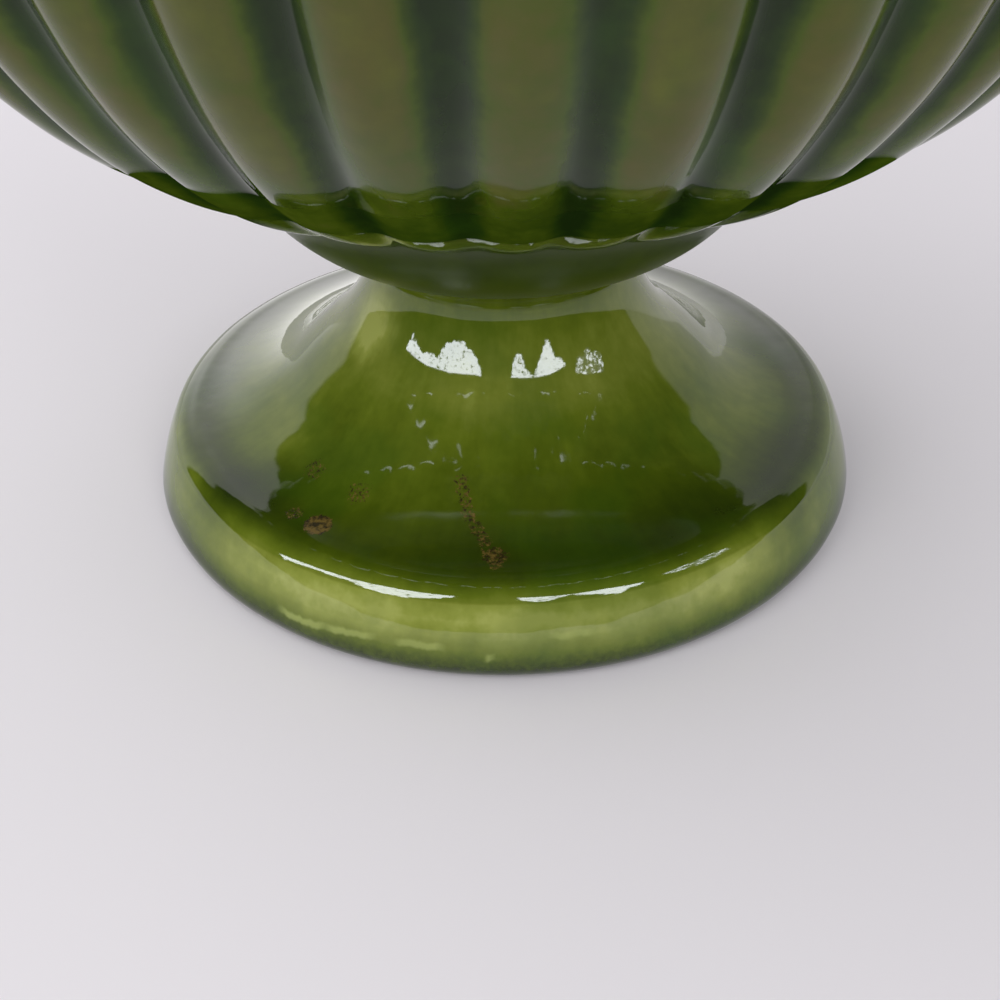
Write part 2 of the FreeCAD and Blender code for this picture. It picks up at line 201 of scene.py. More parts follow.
def bowl_profile():
    seat_angle = math.degrees(math.acos(SEAT_REACH / BELLY_ROUND))
    shoulder = [(BOWL_RADIUS - SHOULDER_INSET * (i / SHOULDER_STEPS) ** 2,
                 BELLY_HEIGHT + SHOULDER_RISE * i / SHOULDER_STEPS)
                for i in range(SHOULDER_STEPS + 1)]
    inner_radius = BOWL_RADIUS - FLUTE_DEPTH - BOWL_WALL
    floor = COLLAR_TOP + BOWL_FLOOR
    round_inside = BELLY_HEIGHT - floor
    middle = (inner_radius - round_inside, BELLY_HEIGHT)
    top_radius = BOWL_TOP_RADIUS - SHOULDER_SEAT_WIDTH
    inset = inner_radius - top_radius
    shoulder_round = (SHOULDER_RISE ** 2 + inset ** 2) / (2 * inset)
    shoulder_middle = (inner_radius - shoulder_round, BELLY_HEIGHT)
    return chain(
        line((0, COLLAR_TOP), (COLLAR_TOP_RADIUS, COLLAR_TOP), steps=5),
        arc((BELLY_MIDDLE, BELLY_HEIGHT), BELLY_ROUND, -seat_angle, 0, steps=72),
        shoulder,
        line((BOWL_TOP_RADIUS, BOWL_TOP), (top_radius, BOWL_TOP), steps=2),
        arc(shoulder_middle, shoulder_round, bearing(shoulder_middle, (top_radius, BOWL_TOP)), 0, steps=4),
        arc(middle, round_inside, 0, -90, steps=24),
        line((middle[0], floor), (0, floor), steps=3))


def neck_profile():
    middle = (NECK_WAIST + NECK_COVE_ROUND,
              BOWL_TOP + math.sqrt(2 * NECK_WAIST_INSET * NECK_COVE_ROUND - NECK_WAIST_INSET ** 2))
    outer_corner = (BOWL_TOP_RADIUS, BOWL_TOP)
    inner_corner = (BOWL_TOP_RADIUS - SHOULDER_SEAT_WIDTH, BOWL_TOP)
    inner_cove = math.dist(inner_corner, middle)
    reach = NECK_COVE_ROUND + LIP_SET
    lip_angle = math.degrees(math.acos((NECK_COVE_ROUND - RIM_OVERHANG + LIP_ROUND) / reach))
    lip_middle = polar(middle, reach, 180 - lip_angle)
    outer_end = meet(middle, NECK_COVE_ROUND, lip_middle, LIP_ROUND, 1)
    inner_end = meet(middle, inner_cove, lip_middle, LIP_ROUND, 1)
    lip_start = bearing(lip_middle, outer_end)
    lip_end = bearing(lip_middle, inner_end) + 360
    return chain(
        line(inner_corner, outer_corner, steps=3),
        arc(middle, NECK_COVE_ROUND,
            bearing(middle, outer_corner) + 360, bearing(middle, outer_end), steps=44),
        arc(lip_middle, LIP_ROUND, lip_start, lip_end, steps=30),
        arc(middle, inner_cove, bearing(middle, inner_end), bearing(middle, inner_corner) + 360, steps=44))


def outside_share(height):
    """Share of the full flute depth at this height of the bowl."""
    if height <= BELLY_HEIGHT:
        seat_angle = math.acos(SEAT_REACH / BELLY_ROUND)
        angle = math.asin(min(1, (BELLY_HEIGHT - height) / BELLY_ROUND))
        place = (1 - angle / seat_angle) * (len(BELLY_DEPTH_SHARES) - 1)
        return blend_keys(list(enumerate(BELLY_DEPTH_SHARES)), place)
    place = (height - BELLY_HEIGHT) / SHOULDER_RISE * (len(SHOULDER_DEPTH_SHARES) - 1)
    return blend_keys(list(enumerate(SHOULDER_DEPTH_SHARES)), place)


def flute_depth(angle):
    """How deep the flutes are at this angle: 0 on a lobe's crest, 1 in the middle of a groove."""
    pitch = 2 * math.pi / FLUTE_COUNT
    across = abs((angle / pitch + 0.5) % 1 - 0.5) * 2
    if across < LOBE_SHARE:
        return LOBE_SHARE * (across / LOBE_SHARE) ** 2
    return 1 - (1 - LOBE_SHARE) * ((1 - across) / (1 - LOBE_SHARE)) ** 2


# How thick the glaze lies, from 0 (run thin) to 1 (pooled): on the foot's top by radius, and by height
# on the foot's side, up to FOOT_SIDE_TOP, and on the other pieces
FOOT_TOP_GLAZE = ((22, 0.4), (24, 0.3), (28, 0.24), (31, 0.35), (36, 0.48), (42, 0.59), (47, 0.75),
                  (51, 0.82), (54, 0.68), (56.5, 0.28), (58, 0.16))
FOOT_SIDE_GLAZE = ((0, 0.85), (2, 0.68), (4, 0.5), (5.5, 0.3), (7.5, 0.08), (10, 0), (12, 0.1), (13, 0.2))
FOOT_SIDE_TOP = 12.5
COLLAR_GLAZE = ((40.4, 0.45), (44, 0.55), (46, 0.78), (50, 0.8), (60, 0.82))
# Painted shade low under the bowl's belly: by height in millimetres, how much darker its colour is set, as
# added glaze thickness
BOWL_LOW_PAINTED_SHADE = ((61, 0.24), (80, 0.14), (87, 0))
NECK_GLAZE = ((142, 0.85), (148, 0.7), (165, 0.6), (180, 0.55), (186, 0.35), (191, 0.12))
# The bowl's glaze on a lobe, how much thicker it lies in the middle of a groove, and how deep into a
# groove it starts to pool. Smooth places, such as the inside, are glazed like a place this deep
CREST_GLAZE = 0.6
GROOVE_GLAZE = 0.4
POOL_FROM = 0.12
INSIDE_DEEP = 0.3


# Each piece's glaze is asked for by radius, height and depth in a groove, and reads what it needs
def foot_glaze(radius, height, deep):
    if radius < FOOT_RADIUS - FOOT_EDGE_INSET or height > FOOT_SIDE_TOP:
        return blend_keys(FOOT_TOP_GLAZE, radius)
    return blend_keys(FOOT_SIDE_GLAZE, height)


def collar_glaze(radius, height, deep):
    return blend_keys(COLLAR_GLAZE, height)


def bowl_glaze(radius, height, deep):
    pooled = min(1, max(0, (deep - POOL_FROM) / (1 - POOL_FROM)))
    smooth = pooled ** 2 * (3 - 2 * pooled)
    # The low height keys darken the bowl under its belly as painted shade
    return CREST_GLAZE + blend_keys(BOWL_LOW_PAINTED_SHADE, height) + GROOVE_GLAZE * smooth


def neck_glaze(radius, height, deep):
    return blend_keys(NECK_GLAZE, height)


# Cast and fettled clay is not quite true: it dips by up to this many millimetres, in long waves with
# short ones half as deep on them. Below DIP_FROM the edge that stands on the table stays true
DIP = 0.16
DIP_PITCH = 17
SHORT_DIP_PITCH = 0.4 * DIP_PITCH
SHORT_DIP_SHARE = 0.5
DIP_MIDDLE = 0.5
DIP_SWING = 0.6
DIP_FROM = 1
# A piece is spun in sectors of this many steps. Points on their seams and on the axis are merged
# where they are closer than this many millimetres
SECTOR_STEPS = 16
SEAM_MERGE = 0.001
# Edges turned by more than this many degrees stay sharp
SHARP_ANGLE = 40


def dip(point):
    wave = noise.noise(point / DIP_PITCH) + SHORT_DIP_SHARE * noise.noise(point / SHORT_DIP_PITCH)
    return DIP * min(1, max(0, DIP_MIDDLE + DIP_SWING * wave))


def in_order(mesh):
    """Sort points by their index, and edges and faces by their points: merging leaves no fixed order."""
    mesh.verts.sort()
    mesh.verts.index_update()
    count = len(mesh.verts)

    def place_in_row(part):
        corners = sorted(vert.index for vert in part.verts)
        return (corners[0] * count + corners[1]) * count + corners[-1]

    mesh.edges.sort(key=place_in_row)
    mesh.faces.sort(key=place_in_row)


def turned(name, profile, sectors, glaze, fluted):
    """Spin a profile round the axis into one smooth piece that carries its glaze thickness.

    One narrow sector is spun and then repeated round, which is much quicker than one long spin.
    """
    mesh = bmesh.new()
    thickness = mesh.verts.layers.float.new("glaze")
    row_of = mesh.verts.layers.int.new("row")
    points = [mesh.verts.new((0, -radius * MM, height * MM)) for radius, height in profile]
    for row, point in enumerate(points):
        point[row_of] = row
    for low, high in zip(points, points[1:]):
        mesh.edges.new((low, high))
    if profile[0][0] > NEAR:
        mesh.edges.new((points[-1], points[0]))
    sector = 2 * math.pi / sectors
    pitch = sector / SECTOR_STEPS
    bmesh.ops.spin(mesh, geom=mesh.verts[:] + mesh.edges[:], cent=(0, 0, 0), axis=(0, 0, 1),
                   angle=sector, steps=SECTOR_STEPS)
    bmesh.ops.spin(mesh, geom=mesh.verts[:] + mesh.edges[:] + mesh.faces[:], cent=(0, 0, 0),
                   axis=(0, 0, 1), angle=sector * (sectors - 1), steps=sectors - 1, use_duplicate=True)
    bmesh.ops.remove_doubles(mesh, verts=mesh.verts[:], dist=SEAM_MERGE * MM)

    top_row = max(range(len(profile)), key=lambda row: profile[row][1])
    steps_round = sectors * SECTOR_STEPS
    for vert in mesh.verts:
        row = vert[row_of]
        radius, height = profile[row]
        step = round(math.atan2(vert.co.x, -vert.co.y) / pitch)
        vert.index = row * steps_round + step % steps_round
        if radius < NEAR:
            vert[thickness] = glaze(radius, height, 0)
            continue
        angle = pitch * step
        outside = fluted and row <= top_row and radius > COLLAR_TOP_RADIUS - NEAR
        deep = outside_share(height) * flute_depth(angle) if outside else 0
        out = radius - FLUTE_DEPTH * deep
        if height > DIP_FROM:
            out -= dip(Vector((out * math.sin(angle), -out * math.cos(angle), height)))
        vert.co = Vector((out * math.sin(angle), -out * math.cos(angle), height)) * MM
        vert[thickness] = glaze(radius, height, deep if outside else INSIDE_DEEP)
    in_order(mesh)
    mesh.verts.layers.int.remove(row_of)
    bmesh.ops.recalc_face_normals(mesh, faces=mesh.faces)
    data = bpy.data.meshes.new(name)
    mesh.to_mesh(data)
    mesh.free()
    data.shade_smooth()
    data.set_sharp_from_angle(angle=math.radians(SHARP_ANGLE))
    piece = bpy.data.objects.new(name, data)
    bpy.context.scene.collection.objects.link(piece)
    return piece


class Maker:
    """Builds math and colour nodes in one tree with short calls."""

    def __init__(self, tree):
        self.tree = tree

    def put(self, socket, value):
        if isinstance(value, bpy.types.NodeSocket):
            self.tree.links.new(value, socket)
        else:
            socket.default_value = value

    def math(self, operation, first, second=0.0, third=0.0):
        node = self.tree.nodes.new("ShaderNodeMath")
        node.operation = operation
        for socket, value in zip(node.inputs, (first, second, third)):
            self.put(socket, value)
        return node.outputs[0]

    def split(self, vector):
        node = self.tree.nodes.new("ShaderNodeSeparateXYZ")
        self.put(node.inputs[0], vector)
        return node.outputs

    def join(self, *values):
        node = self.tree.nodes.new("ShaderNodeCombineXYZ")
        for socket, value in zip(node.inputs, values):
            self.put(socket, value)
        return node.outputs[0]

    def unit(self, vector):
        node = self.tree.nodes.new("ShaderNodeVectorMath")
        node.operation = "NORMALIZE"
        self.put(node.inputs[0], vector)
        return node.outputs["Vector"]

    def scaled(self, vector, factor):
        node = self.tree.nodes.new("ShaderNodeVectorMath")
        node.operation = "SCALE"
        self.put(node.inputs[0], vector)
        self.put(node.inputs["Scale"], factor)
        return node.outputs["Vector"]

    def apart(self, place, middle):
        """Distance in metres from a point given in millimetres."""
        node = self.tree.nodes.new("ShaderNodeVectorMath")
        node.operation = "DISTANCE"
        self.put(node.inputs[0], place)
        self.put(node.inputs[1], Vector(middle) * MM)
        return node.outputs["Value"]

    def ramp(self, value, low, high, to_low=0.0, to_high=1.0):
        """Rise smoothly from one value to another between two places."""
        node = self.tree.nodes.new("ShaderNodeMapRange")
        node.interpolation_type = "SMOOTHSTEP"
        for socket, item in zip(node.inputs, (value, low, high, to_low, to_high)):
            self.put(socket, item)
        return node.outputs[0]

    def mix(self, share, first, second):
        node = self.tree.nodes.new("ShaderNodeMix")
        node.data_type = "RGBA"
        self.put(node.inputs["Factor"], share)
        colours = [socket for socket in node.inputs if socket.type == "RGBA"]
        self.put(colours[0], first)
        self.put(colours[1], second)
        return next(socket for socket in node.outputs if socket.type == "RGBA")

    def noise(self, place, scale, detail, roughness):
        node = self.tree.nodes.new("ShaderNodeTexNoise")
        self.put(node.inputs["Vector"], place)
        node.inputs["Scale"].default_value = scale
        node.inputs["Detail"].default_value = detail
        node.inputs["Roughness"].default_value = roughness
        return node.outputs["Fac"]

    def uneven(self, value, place, scale, detail, roughness, amount):
        """Add noise to a value, as much below it as above."""
        wave = self.math("SUBTRACT", self.noise(place, scale, detail, roughness), 0.5)
        return self.math("MULTIPLY_ADD", wave, amount, value)

    def curve(self, value, keys):
        """Read a row of (place, amount) keys at a value, straight between its keys."""
        first, last = keys[0][0], keys[-1][0]
        top = max(amount for place, amount in keys)
        node = self.tree.nodes.new("ShaderNodeMapRange")
        for socket, item in zip(node.inputs, (value, first, last, 0.0, 1.0)):
            self.put(socket, item)
        stops = [((place - first) / (last - first), (amount / top,) * 3) for place, amount in keys]
        return self.math("MULTIPLY", self.colours(node.outputs[0], stops), top)

    def colours(self, value, stops):
        node = self.tree.nodes.new("ShaderNodeValToRGB")
        band = node.color_ramp
        while len(band.elements) < len(stops):
            band.elements.new(0.5)
        for element, (place, colour) in zip(band.elements, stops):
            element.position = place
            element.color = (*colour, 1)
        self.put(node.inputs[0], value)
        return node.outputs[0]


class GlazeMaker(Maker):
    """Nodes of one glaze, with the places on the piece that its patterns read."""

    def __init__(self, tree):
        super().__init__(tree)
        self.place = tree.nodes.new("ShaderNodeTexCoord").outputs["Object"]
        x, y, self.height = self.split(self.place)
        self.level = self.join(x, y)
        # Which way a place faces: across from -1 left to 1 right, away from -1 in front to 1 behind
        around = self.split(self.unit(self.level))
        self.across = around[0]
        self.away = around[1]
        thick = tree.nodes.new("ShaderNodeAttribute")
        thick.attribute_name = "glaze"
        self.thick = thick.outputs["Fac"]


# Base colours of the glaze from thin to pooled, on the foot and on the bowl
FOOT_STOPS = ((0.0, (0.33, 0.365, 0.09)), (0.07, (0.25, 0.29, 0.052)), (0.2, (0.17, 0.205, 0.026)),
              (0.36, (0.11, 0.148, 0.01)), (0.55, (0.06, 0.088, 0.004)), (0.75, (0.034, 0.054, 0.003)),
              (1.0, (0.016, 0.029, 0.003)))
BOWL_STOPS = ((0.05, (0.22, 0.24, 0.04)), (0.35, (0.11, 0.128, 0.014)), (0.6, (0.073, 0.08, 0.014)),
              (0.7, (0.052, 0.081, 0.005)), (0.79, (0.031, 0.054, 0.003)), (0.9, (0.015, 0.034, 0.003)),
              (1.0, (0.009, 0.021, 0.003)))

# How unevenly the glaze lies: noise scale, detail, roughness and amount. The streaks run down the
# piece, so they are read on its bearing and on its height times RUN_SCALE
RUN_SCALE = 14.0
STREAKS = (11.0, 3.0, 0.6, 0.22)
PATCHES = (75.0, 4.0, 0.6, 0.34)
GRAIN = (480.0, 2.0, 0.6, 0.12)

# Clearer green and rust brown in patches: noise scale, detail and roughness, and between which of its
# values a patch sets in. Rust shows only where the glaze is thinner than this
CLEAR_GREEN = (0.026, 0.075, 0.004, 1)
GREEN_NOISE = (52.0, 3.0, 0.6)
GREEN_FROM_TO = (0.48, 0.66)
RUST_BROWN = (0.1, 0.066, 0.014, 1)
RUST_NOISE = (38.0, 3.0, 0.55)
RUST_FROM_TO = (0.45, 0.7)
RUST_THIN = (0.62, 0.75)

# Places where the foot's glaze lies thicker (plus) or thinner (minus): middle, reach and amount
POOLS = (((22, -40, 17), 16, 0.08), ((-20.5, -11.5, 34), 9, -0.34), ((-22, -40, 17), 16, -0.12),
         ((-40, -30, 15), 12, 0.1), ((46, -25, 15), 14, 0.15),
         ((-46, -31, 14), 9, 0.16), ((43, -36.6, 13), 9, 0.27))
POOL_CORE_SHARE = 0.2

# Painted shade and light: away from the front the foot's side and flare are coloured darker, and the valley
# between them lighter. Each band's heights from and to in metres, then its amount below and above them
FRONT_FROM_TO = (-0.85, -0.45)
SIDES_PAINTED_LIGHT_AND_SHADE = 0.3
SIDE_LIGHT_AND_SHADE_BANDS = ((0.011, 0.014, 1.0, 0.0), (0.0147, 0.0157, 0.0, -0.9), (0.017, 0.024, 0.0, 0.8))

# The foot's lowest part is mottled, up to this height in metres
BASE_NOISE = (900.0, 4.0, 0.7)
BASE_FROM_TO = (0.25, 0.75)
BASE_HEIGHT = 0.0065
BASE_MORE = 0.55

# Brown speckled stains on the foot: middle and reach in millimetres, and how solid each is
STAINS = [((-29.2, -40.4, 15.1), 3.3, 0.85), ((-33, -37.4, 15.1), 2.8, 0.48),
          ((-23.3, -35.2, 17.1), 3.8, 0.47), ((-30.3, -29, 17.2), 3.6, 0.44),
          ((-2.8, -49.2, 15.1), 3.2, 0.58)]
# The long stain runs down the flare through these points
STREAK = ((-7.6, -36.6, 19.9), (-6.3, -42.2, 17), (-4.2, -46.4, 15.6), (-2.3, -52.4, 14.9))
STREAK_STEPS = 4
STREAK_REACH = 2.0
STREAK_SOLID = 0.5
for first, second in zip(STREAK, STREAK[1:]):
    for step in range(STREAK_STEPS):
        middle = tuple(Vector(first).lerp(Vector(second), step / STREAK_STEPS))
        STAINS.append((middle, STREAK_REACH, STREAK_SOLID))
STAIN_CORE_SHARE = 0.35
STAIN_STRAYS = 0.1
STAIN_SOFT = 0.05
STAIN_SPECKS = (2300.0, 3.0, 0.75)
STAIN_SHADES = (1100.0, 3.0, 0.6)
STAIN_SHADE_FROM_TO = (0.4, 0.65)
STAIN_DARK = (0.03, 0.022, 0.006, 1)
STAIN_PALE = (0.15, 0.1, 0.022, 1)
STAIN_DULL = 0.15

# A painted highlight, the pale glint along a glaze ridge round the foot's side: sine of the bearing and
# height in millimetres, then where it shows. It wobbles by noise of this scale, detail, roughness and
# amount, and fades with distance
GLINT_LINE = ((-0.6, 5.0), (-0.48, 5.4), (-0.36, 6.0), (-0.19, 6.1), (-0.07, 4.6), (0.06, 7.8), (0.2, 7.8))
GLINT_SEEN = ((-0.6, 0), (-0.57, 1), (-0.49, 0.9), (-0.47, 0.4), (-0.45, 0.9), (-0.37, 0.8), (-0.34, 0),
              (-0.3, 0.1), (-0.28, 0.7), (-0.2, 0.8), (-0.17, 0), (-0.08, 0), (-0.07, 0.8), (-0.05, 0),
              (0.07, 0), (0.1, 0.45), (0.17, 0.5), (0.2, 0))
GLINT_WOBBLE = (190.0, 3.0, 0.65, 0.0026)
GLINT_FADE = (0.0002, 0.0008)
GLINT_STRENGTH = 0.55
GLINT_COLOUR = (0.4, 0.46, 0.13, 1)

# Roughness of the glaze, and from which height to which in metres a piece grows duller and by how much
GLOSS = 0.04
COLLAR_DULL = (0.0475, 0.0485, 0.28)
BOWL_DULL = (0.08, 0.092, 0.1)

# The bowl mirrors nothing in a strip under its belly, up to this height in metres and lower away from
# the front, save on a narrow lip at the front. The fronts are read on GlazeMaker's away
MIRRORS = 0.5
PLAIN_TOP = 0.078
PLAIN_TOP_SIDES = 0.0735
PLAIN_FRONT = (-0.8, -0.7)
PLAIN_SOFT = 0.001
LIP_FROM_TO = (0.0713, 0.0722)
LIP_FRONT = (-0.92, -0.87)

# Low waves in the glaze: noise scale, detail and roughness, strength and depth in metres
WAVES = (160.0, 2.0, 0.5)
WAVE_STRENGTH = 0.12
WAVE_DEPTH = 0.0003


def foot_thickness(make, amount):
    """The foot's pools, the painted shade and light on its sides away from the front, and its mottled base.
    """
    for middle, reach, more in POOLS:
        pool = make.ramp(make.apart(make.place, middle), POOL_CORE_SHARE * reach * MM, reach * MM,
                         more, 0.0)
        amount = make.math("ADD", amount, pool)
    # Painted shade and light: away from the front the side is coloured darker and the valley lighter
    bands = 0.0
    for band in SIDE_LIGHT_AND_SHADE_BANDS:
        bands = make.math("ADD", make.ramp(make.height, *band), bands)
    painted_sides = make.ramp(make.away, *FRONT_FROM_TO, 0.0, SIDES_PAINTED_LIGHT_AND_SHADE)
    amount = make.math("MULTIPLY_ADD", painted_sides, bands, amount)
    mottle = make.ramp(make.noise(make.place, *BASE_NOISE), *BASE_FROM_TO)
    base = make.ramp(make.height, 0.0, BASE_HEIGHT, BASE_MORE, 0.0)
    return make.math("MULTIPLY_ADD", mottle, base, amount)


def patched(make, colour, greened, browned):
    """Patches of clearer green, and of rust brown where the glaze is thin."""
    green = make.ramp(make.noise(make.place, *GREEN_NOISE), *GREEN_FROM_TO)
    colour = make.mix(make.math("MULTIPLY", green, greened), colour, CLEAR_GREEN)
    rust = make.ramp(make.noise(make.place, *RUST_NOISE), *RUST_FROM_TO)
    rust = make.math("MULTIPLY", rust, browned)
    rust = make.math("MULTIPLY", rust, make.ramp(make.thick, *RUST_THIN, 1.0, 0.0))
    return make.mix(rust, colour, RUST_BROWN)


def painted_ridge_glint(make, colour):
    """A painted highlight: the pale glint along a glaze ridge on the foot's side."""
    middle = make.math("MULTIPLY", make.curve(make.across, GLINT_LINE), MM)
    middle = make.uneven(middle, make.level, *GLINT_WOBBLE)
    off_line = make.math("ABSOLUTE", make.math("SUBTRACT", make.height, middle))
    mark = make.ramp(off_line, *GLINT_FADE, 1.0, 0.0)
    mark = make.math("MULTIPLY", mark, make.curve(make.across, GLINT_SEEN))
    return make.mix(make.math("MULTIPLY", mark, GLINT_STRENGTH), colour, GLINT_COLOUR)


def stain_spots(make):
    """Where the brown specks lie: dense in the middle of each stain, stray ones elsewhere."""
    solid_here = 0.0
    for middle, reach, solid in STAINS:
        near = make.ramp(make.apart(make.place, middle), STAIN_CORE_SHARE * reach * MM, reach * MM,
                         solid, STAIN_STRAYS)
        solid_here = make.math("MAXIMUM", near, solid_here)
    specks = make.noise(make.place, *STAIN_SPECKS)
    return make.ramp(make.math("SUBTRACT", solid_here, specks), -STAIN_SOFT, STAIN_SOFT)


def underside_mirrors(make):
    """How strongly the bowl mirrors: not in the strip under its belly, but on its front lip."""
    plain_top = make.ramp(make.away, *PLAIN_FRONT, PLAIN_TOP, PLAIN_TOP_SIDES)
    above = make.ramp(make.math("SUBTRACT", make.height, plain_top), 0.0, PLAIN_SOFT, 0.0, MIRRORS)
    lip = make.ramp(make.height, *LIP_FROM_TO, MIRRORS, 0.0)
    lip = make.math("MULTIPLY", lip, make.ramp(make.away, *LIP_FRONT, 1.0, 0.0))
    return make.math("MAXIMUM", above, lip)


def glaze_material(name, stops, ior, greened=0, browned=0, dull=None, plain_underside=False, marked=False):
    material = bpy.data.materials.new(name)
    material.use_nodes = True
    tree = material.node_tree
    make = GlazeMaker(tree)
    shader = tree.nodes["Principled BSDF"]

    runs = make.join(make.across, make.away, make.math("MULTIPLY", make.height, RUN_SCALE))
    amount = make.uneven(make.thick, runs, *STREAKS)
    amount = make.uneven(amount, make.place, *PATCHES)
    amount = make.uneven(amount, make.place, *GRAIN)
    if marked:
        amount = foot_thickness(make, amount)
    amount = make.math("MINIMUM", make.math("MAXIMUM", amount, 0.0), 1.0)
    colour = patched(make, make.colours(amount, stops), greened, browned)

    rough = GLOSS
    if dull:
        dull_from, dull_to, duller = dull
        rough = make.ramp(make.height, dull_from, dull_to, GLOSS, GLOSS + duller)
    if marked:
        spots = stain_spots(make)
        shade = make.ramp(make.noise(make.place, *STAIN_SHADES), *STAIN_SHADE_FROM_TO)
        # The foot's colour also gets a painted highlight, the pale glint along its glaze ridge, under the
        # stains
        colour = make.mix(spots, painted_ridge_glint(make, colour), make.mix(shade, STAIN_DARK, STAIN_PALE))
        rough = make.math("MULTIPLY_ADD", spots, STAIN_DULL, rough)
    make.put(shader.inputs["Base Color"], colour)
    make.put(shader.inputs["Roughness"], rough)
    if plain_underside:
        make.put(shader.inputs["Specular IOR Level"], underside_mirrors(make))
    shader.inputs["IOR"].default_value = ior

    bump = tree.nodes.new("ShaderNodeBump")
    bump.inputs["Strength"].default_value = WAVE_STRENGTH
    bump.inputs["Distance"].default_value = WAVE_DEPTH
    make.put(bump.inputs["Height"], make.noise(make.place, *WAVES))
    make.put(shader.inputs["Normal"], bump.outputs[0])
    return material


foot_look = glaze_material("green_glaze_foot", FOOT_STOPS, ior=1.54, greened=0.3, marked=True)
collar_look = glaze_material("green_glaze_collar", FOOT_STOPS, ior=1.5, dull=COLLAR_DULL)
bowl_look = glaze_material("green_glaze_bowl", BOWL_STOPS, ior=1.35, greened=0.25, browned=0.45,
                           dull=BOWL_DULL, plain_underside=True)
ROUND_SECTORS = 24
PIECES = (
    ("glazed_foot", "pedestal_foot", foot_profile(), ROUND_SECTORS, foot_glaze, foot_look),
    ("glazed_collar", "collar", collar_profile(), ROUND_SECTORS, collar_glaze, collar_look),
    ("glazed_bowl", "fluted_bowl", bowl_profile(), FLUTE_COUNT, bowl_glaze, bowl_look),
    ("glazed_neck", "flared_neck", neck_profile(), ROUND_SECTORS, neck_glaze, bowl_look),
)
for name, node, profile, sectors, thickness, look in PIECES:
    piece = turned(name, profile, sectors, thickness, node == "fluted_bowl")
    piece.data.materials.append(look)
    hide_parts(node)
    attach(piece, "root")

# The pale sheet that the vase stands on, in metres
FLOOR_RADIUS = 1.5
FLOOR_COLOUR = (0.86, 0.825, 0.86, 1)


def floor_material():
    material = bpy.data.materials.new("pale_sheet")
    material.use_nodes = True
    shader = material.node_tree.nodes["Principled BSDF"]
    shader.inputs["Base Color"].default_value = FLOOR_COLOUR
    shader.inputs["Roughness"].default_value = 1
    shader.inputs["Specular IOR Level"].default_value = 0
    return material


floor_mesh = bmesh.new()
bmesh.ops.create_circle(floor_mesh, cap_ends=True, radius=FLOOR_RADIUS, segments=96)
floor_data = bpy.data.meshes.new("pale_floor")
floor_mesh.to_mesh(floor_data)
floor_mesh.free()
floor = bpy.data.objects.new("pale_floor", floor_data)
floor.data.materials.append(floor_material())
bpy.context.scene.collection.objects.link(floor)

# Windows seen in the glaze: bearing from the camera's side (plus to the right), and heights in degrees
# of the garden's dark top and of the windows' upper edge, each with the softness of that edge
GARDEN_TOP = ((-80, 60), (-76.5, 18), (-73, 12), (-69, 13), (-64, 22), (-52, 24), (-45, 17), (-38, 14),
              (-31, 15), (-26, 22), (-19.5, 34), (-18, 60), (2.5, 60), (4, 30), (7, 24), (11, 24),
              (15, 32), (19, 36), (22, 35), (26, 25), (30, 15), (33, 17), (38, 24), (45, 28.5), (47, 60),
              (51, 60), (54, 28), (60, 24), (62, 17), (65, 21), (73, 23), (80, 60))
GARDEN_RAGGED = (14.0, 3.0, 0.6, 12.0)
GARDEN_SOFT = 0.7
WINDOW_TOP = ((-80, 17), (-77, 19), (-62, 30), (-43, 36), (-19, 39), (4, 38.5), (22, 38), (32, 36),
              (45, 30.5), (52, 35), (62, 36), (77, 33), (80, 20))
WINDOW_SOFT = 0.5

# Leaves before the windows: noise scale, detail and roughness. The noise shows sky above a level that
# rises to the right, and again in the middle window, where it is the product of two ramps
LEAF_NOISE = (22.0, 4.0, 0.7)
LEAVES_RIGHT = (45, 52, 0.38, 0.54)
LEAVES_MIDDLE_IN = (-7, -3, 0.0, 0.04)
LEAVES_MIDDLE_OUT = (22, 26, 1.0, 0.0)
LEAF_EDGE = (-0.05, 0.07, 0.05, 1.0)

# The pale sheet behind: its two ends by height, how high it reaches and how soft its edges are
SHEET_LEFT = ((-30, 122), (28, 122), (32, 125), (37, 135), (42, 144), (50, 165))
SHEET_RIGHT = ((-30, 104), (0, 105), (18, 112), (30, 112), (37, 121), (46, 141), (52, 165))
SHEET_HIGH = 52
SHEET_END_SOFT = 1.5
SHEET_HIGH_SOFT = 3
SHEET_DIMS = (-20, 20)
# Straight behind the vase and low down the sheet is this many times brighter still
BRIGHTER = 1.9
BRIGHTER_LEFT = (-172, -138)
BRIGHTER_RIGHT = (154, 170)
BRIGHTER_LOW = (22, 36)

# Light of the windows, the dark room and the sheet's left and right as the glaze mirrors them, then
# the room's soft light on the vase and the background that the camera sees
WINDOW_LIGHT = (13.0, 13.5, 14.6, 1)
ROOM_DARK = (0.015, 0.015, 0.018, 1)
SHEET_LIT = (0.98, 0.95, 0.98, 1)
SHEET_DIM = (0.6, 0.58, 0.6, 1)
SOFT_LIGHT = (0.69, 0.69, 0.705, 1)
BACKGROUND = (0.72, 0.70, 0.72, 1)


def window_share(make, way, turn, height):
    """1 where a window's sky is mirrored, 0 where the garden, the wall or the leaves are."""
    garden = make.uneven(make.curve(turn, GARDEN_TOP), way, *GARDEN_RAGGED)
    above = make.ramp(make.math("SUBTRACT", height, garden), -GARDEN_SOFT, GARDEN_SOFT)
    top = make.math("SUBTRACT", height, make.curve(turn, WINDOW_TOP))
    below = make.ramp(top, -WINDOW_SOFT, WINDOW_SOFT, 1.0, 0.0)
    middle = make.math("MULTIPLY", make.ramp(turn, *LEAVES_MIDDLE_IN), make.ramp(turn, *LEAVES_MIDDLE_OUT))
    leaves = make.math("ADD", make.ramp(turn, *LEAVES_RIGHT), middle)
    open_sky = make.ramp(make.math("SUBTRACT", make.noise(way, *LEAF_NOISE), leaves), *LEAF_EDGE)
    return make.math("MULTIPLY", make.math("MULTIPLY", above, below), open_sky)


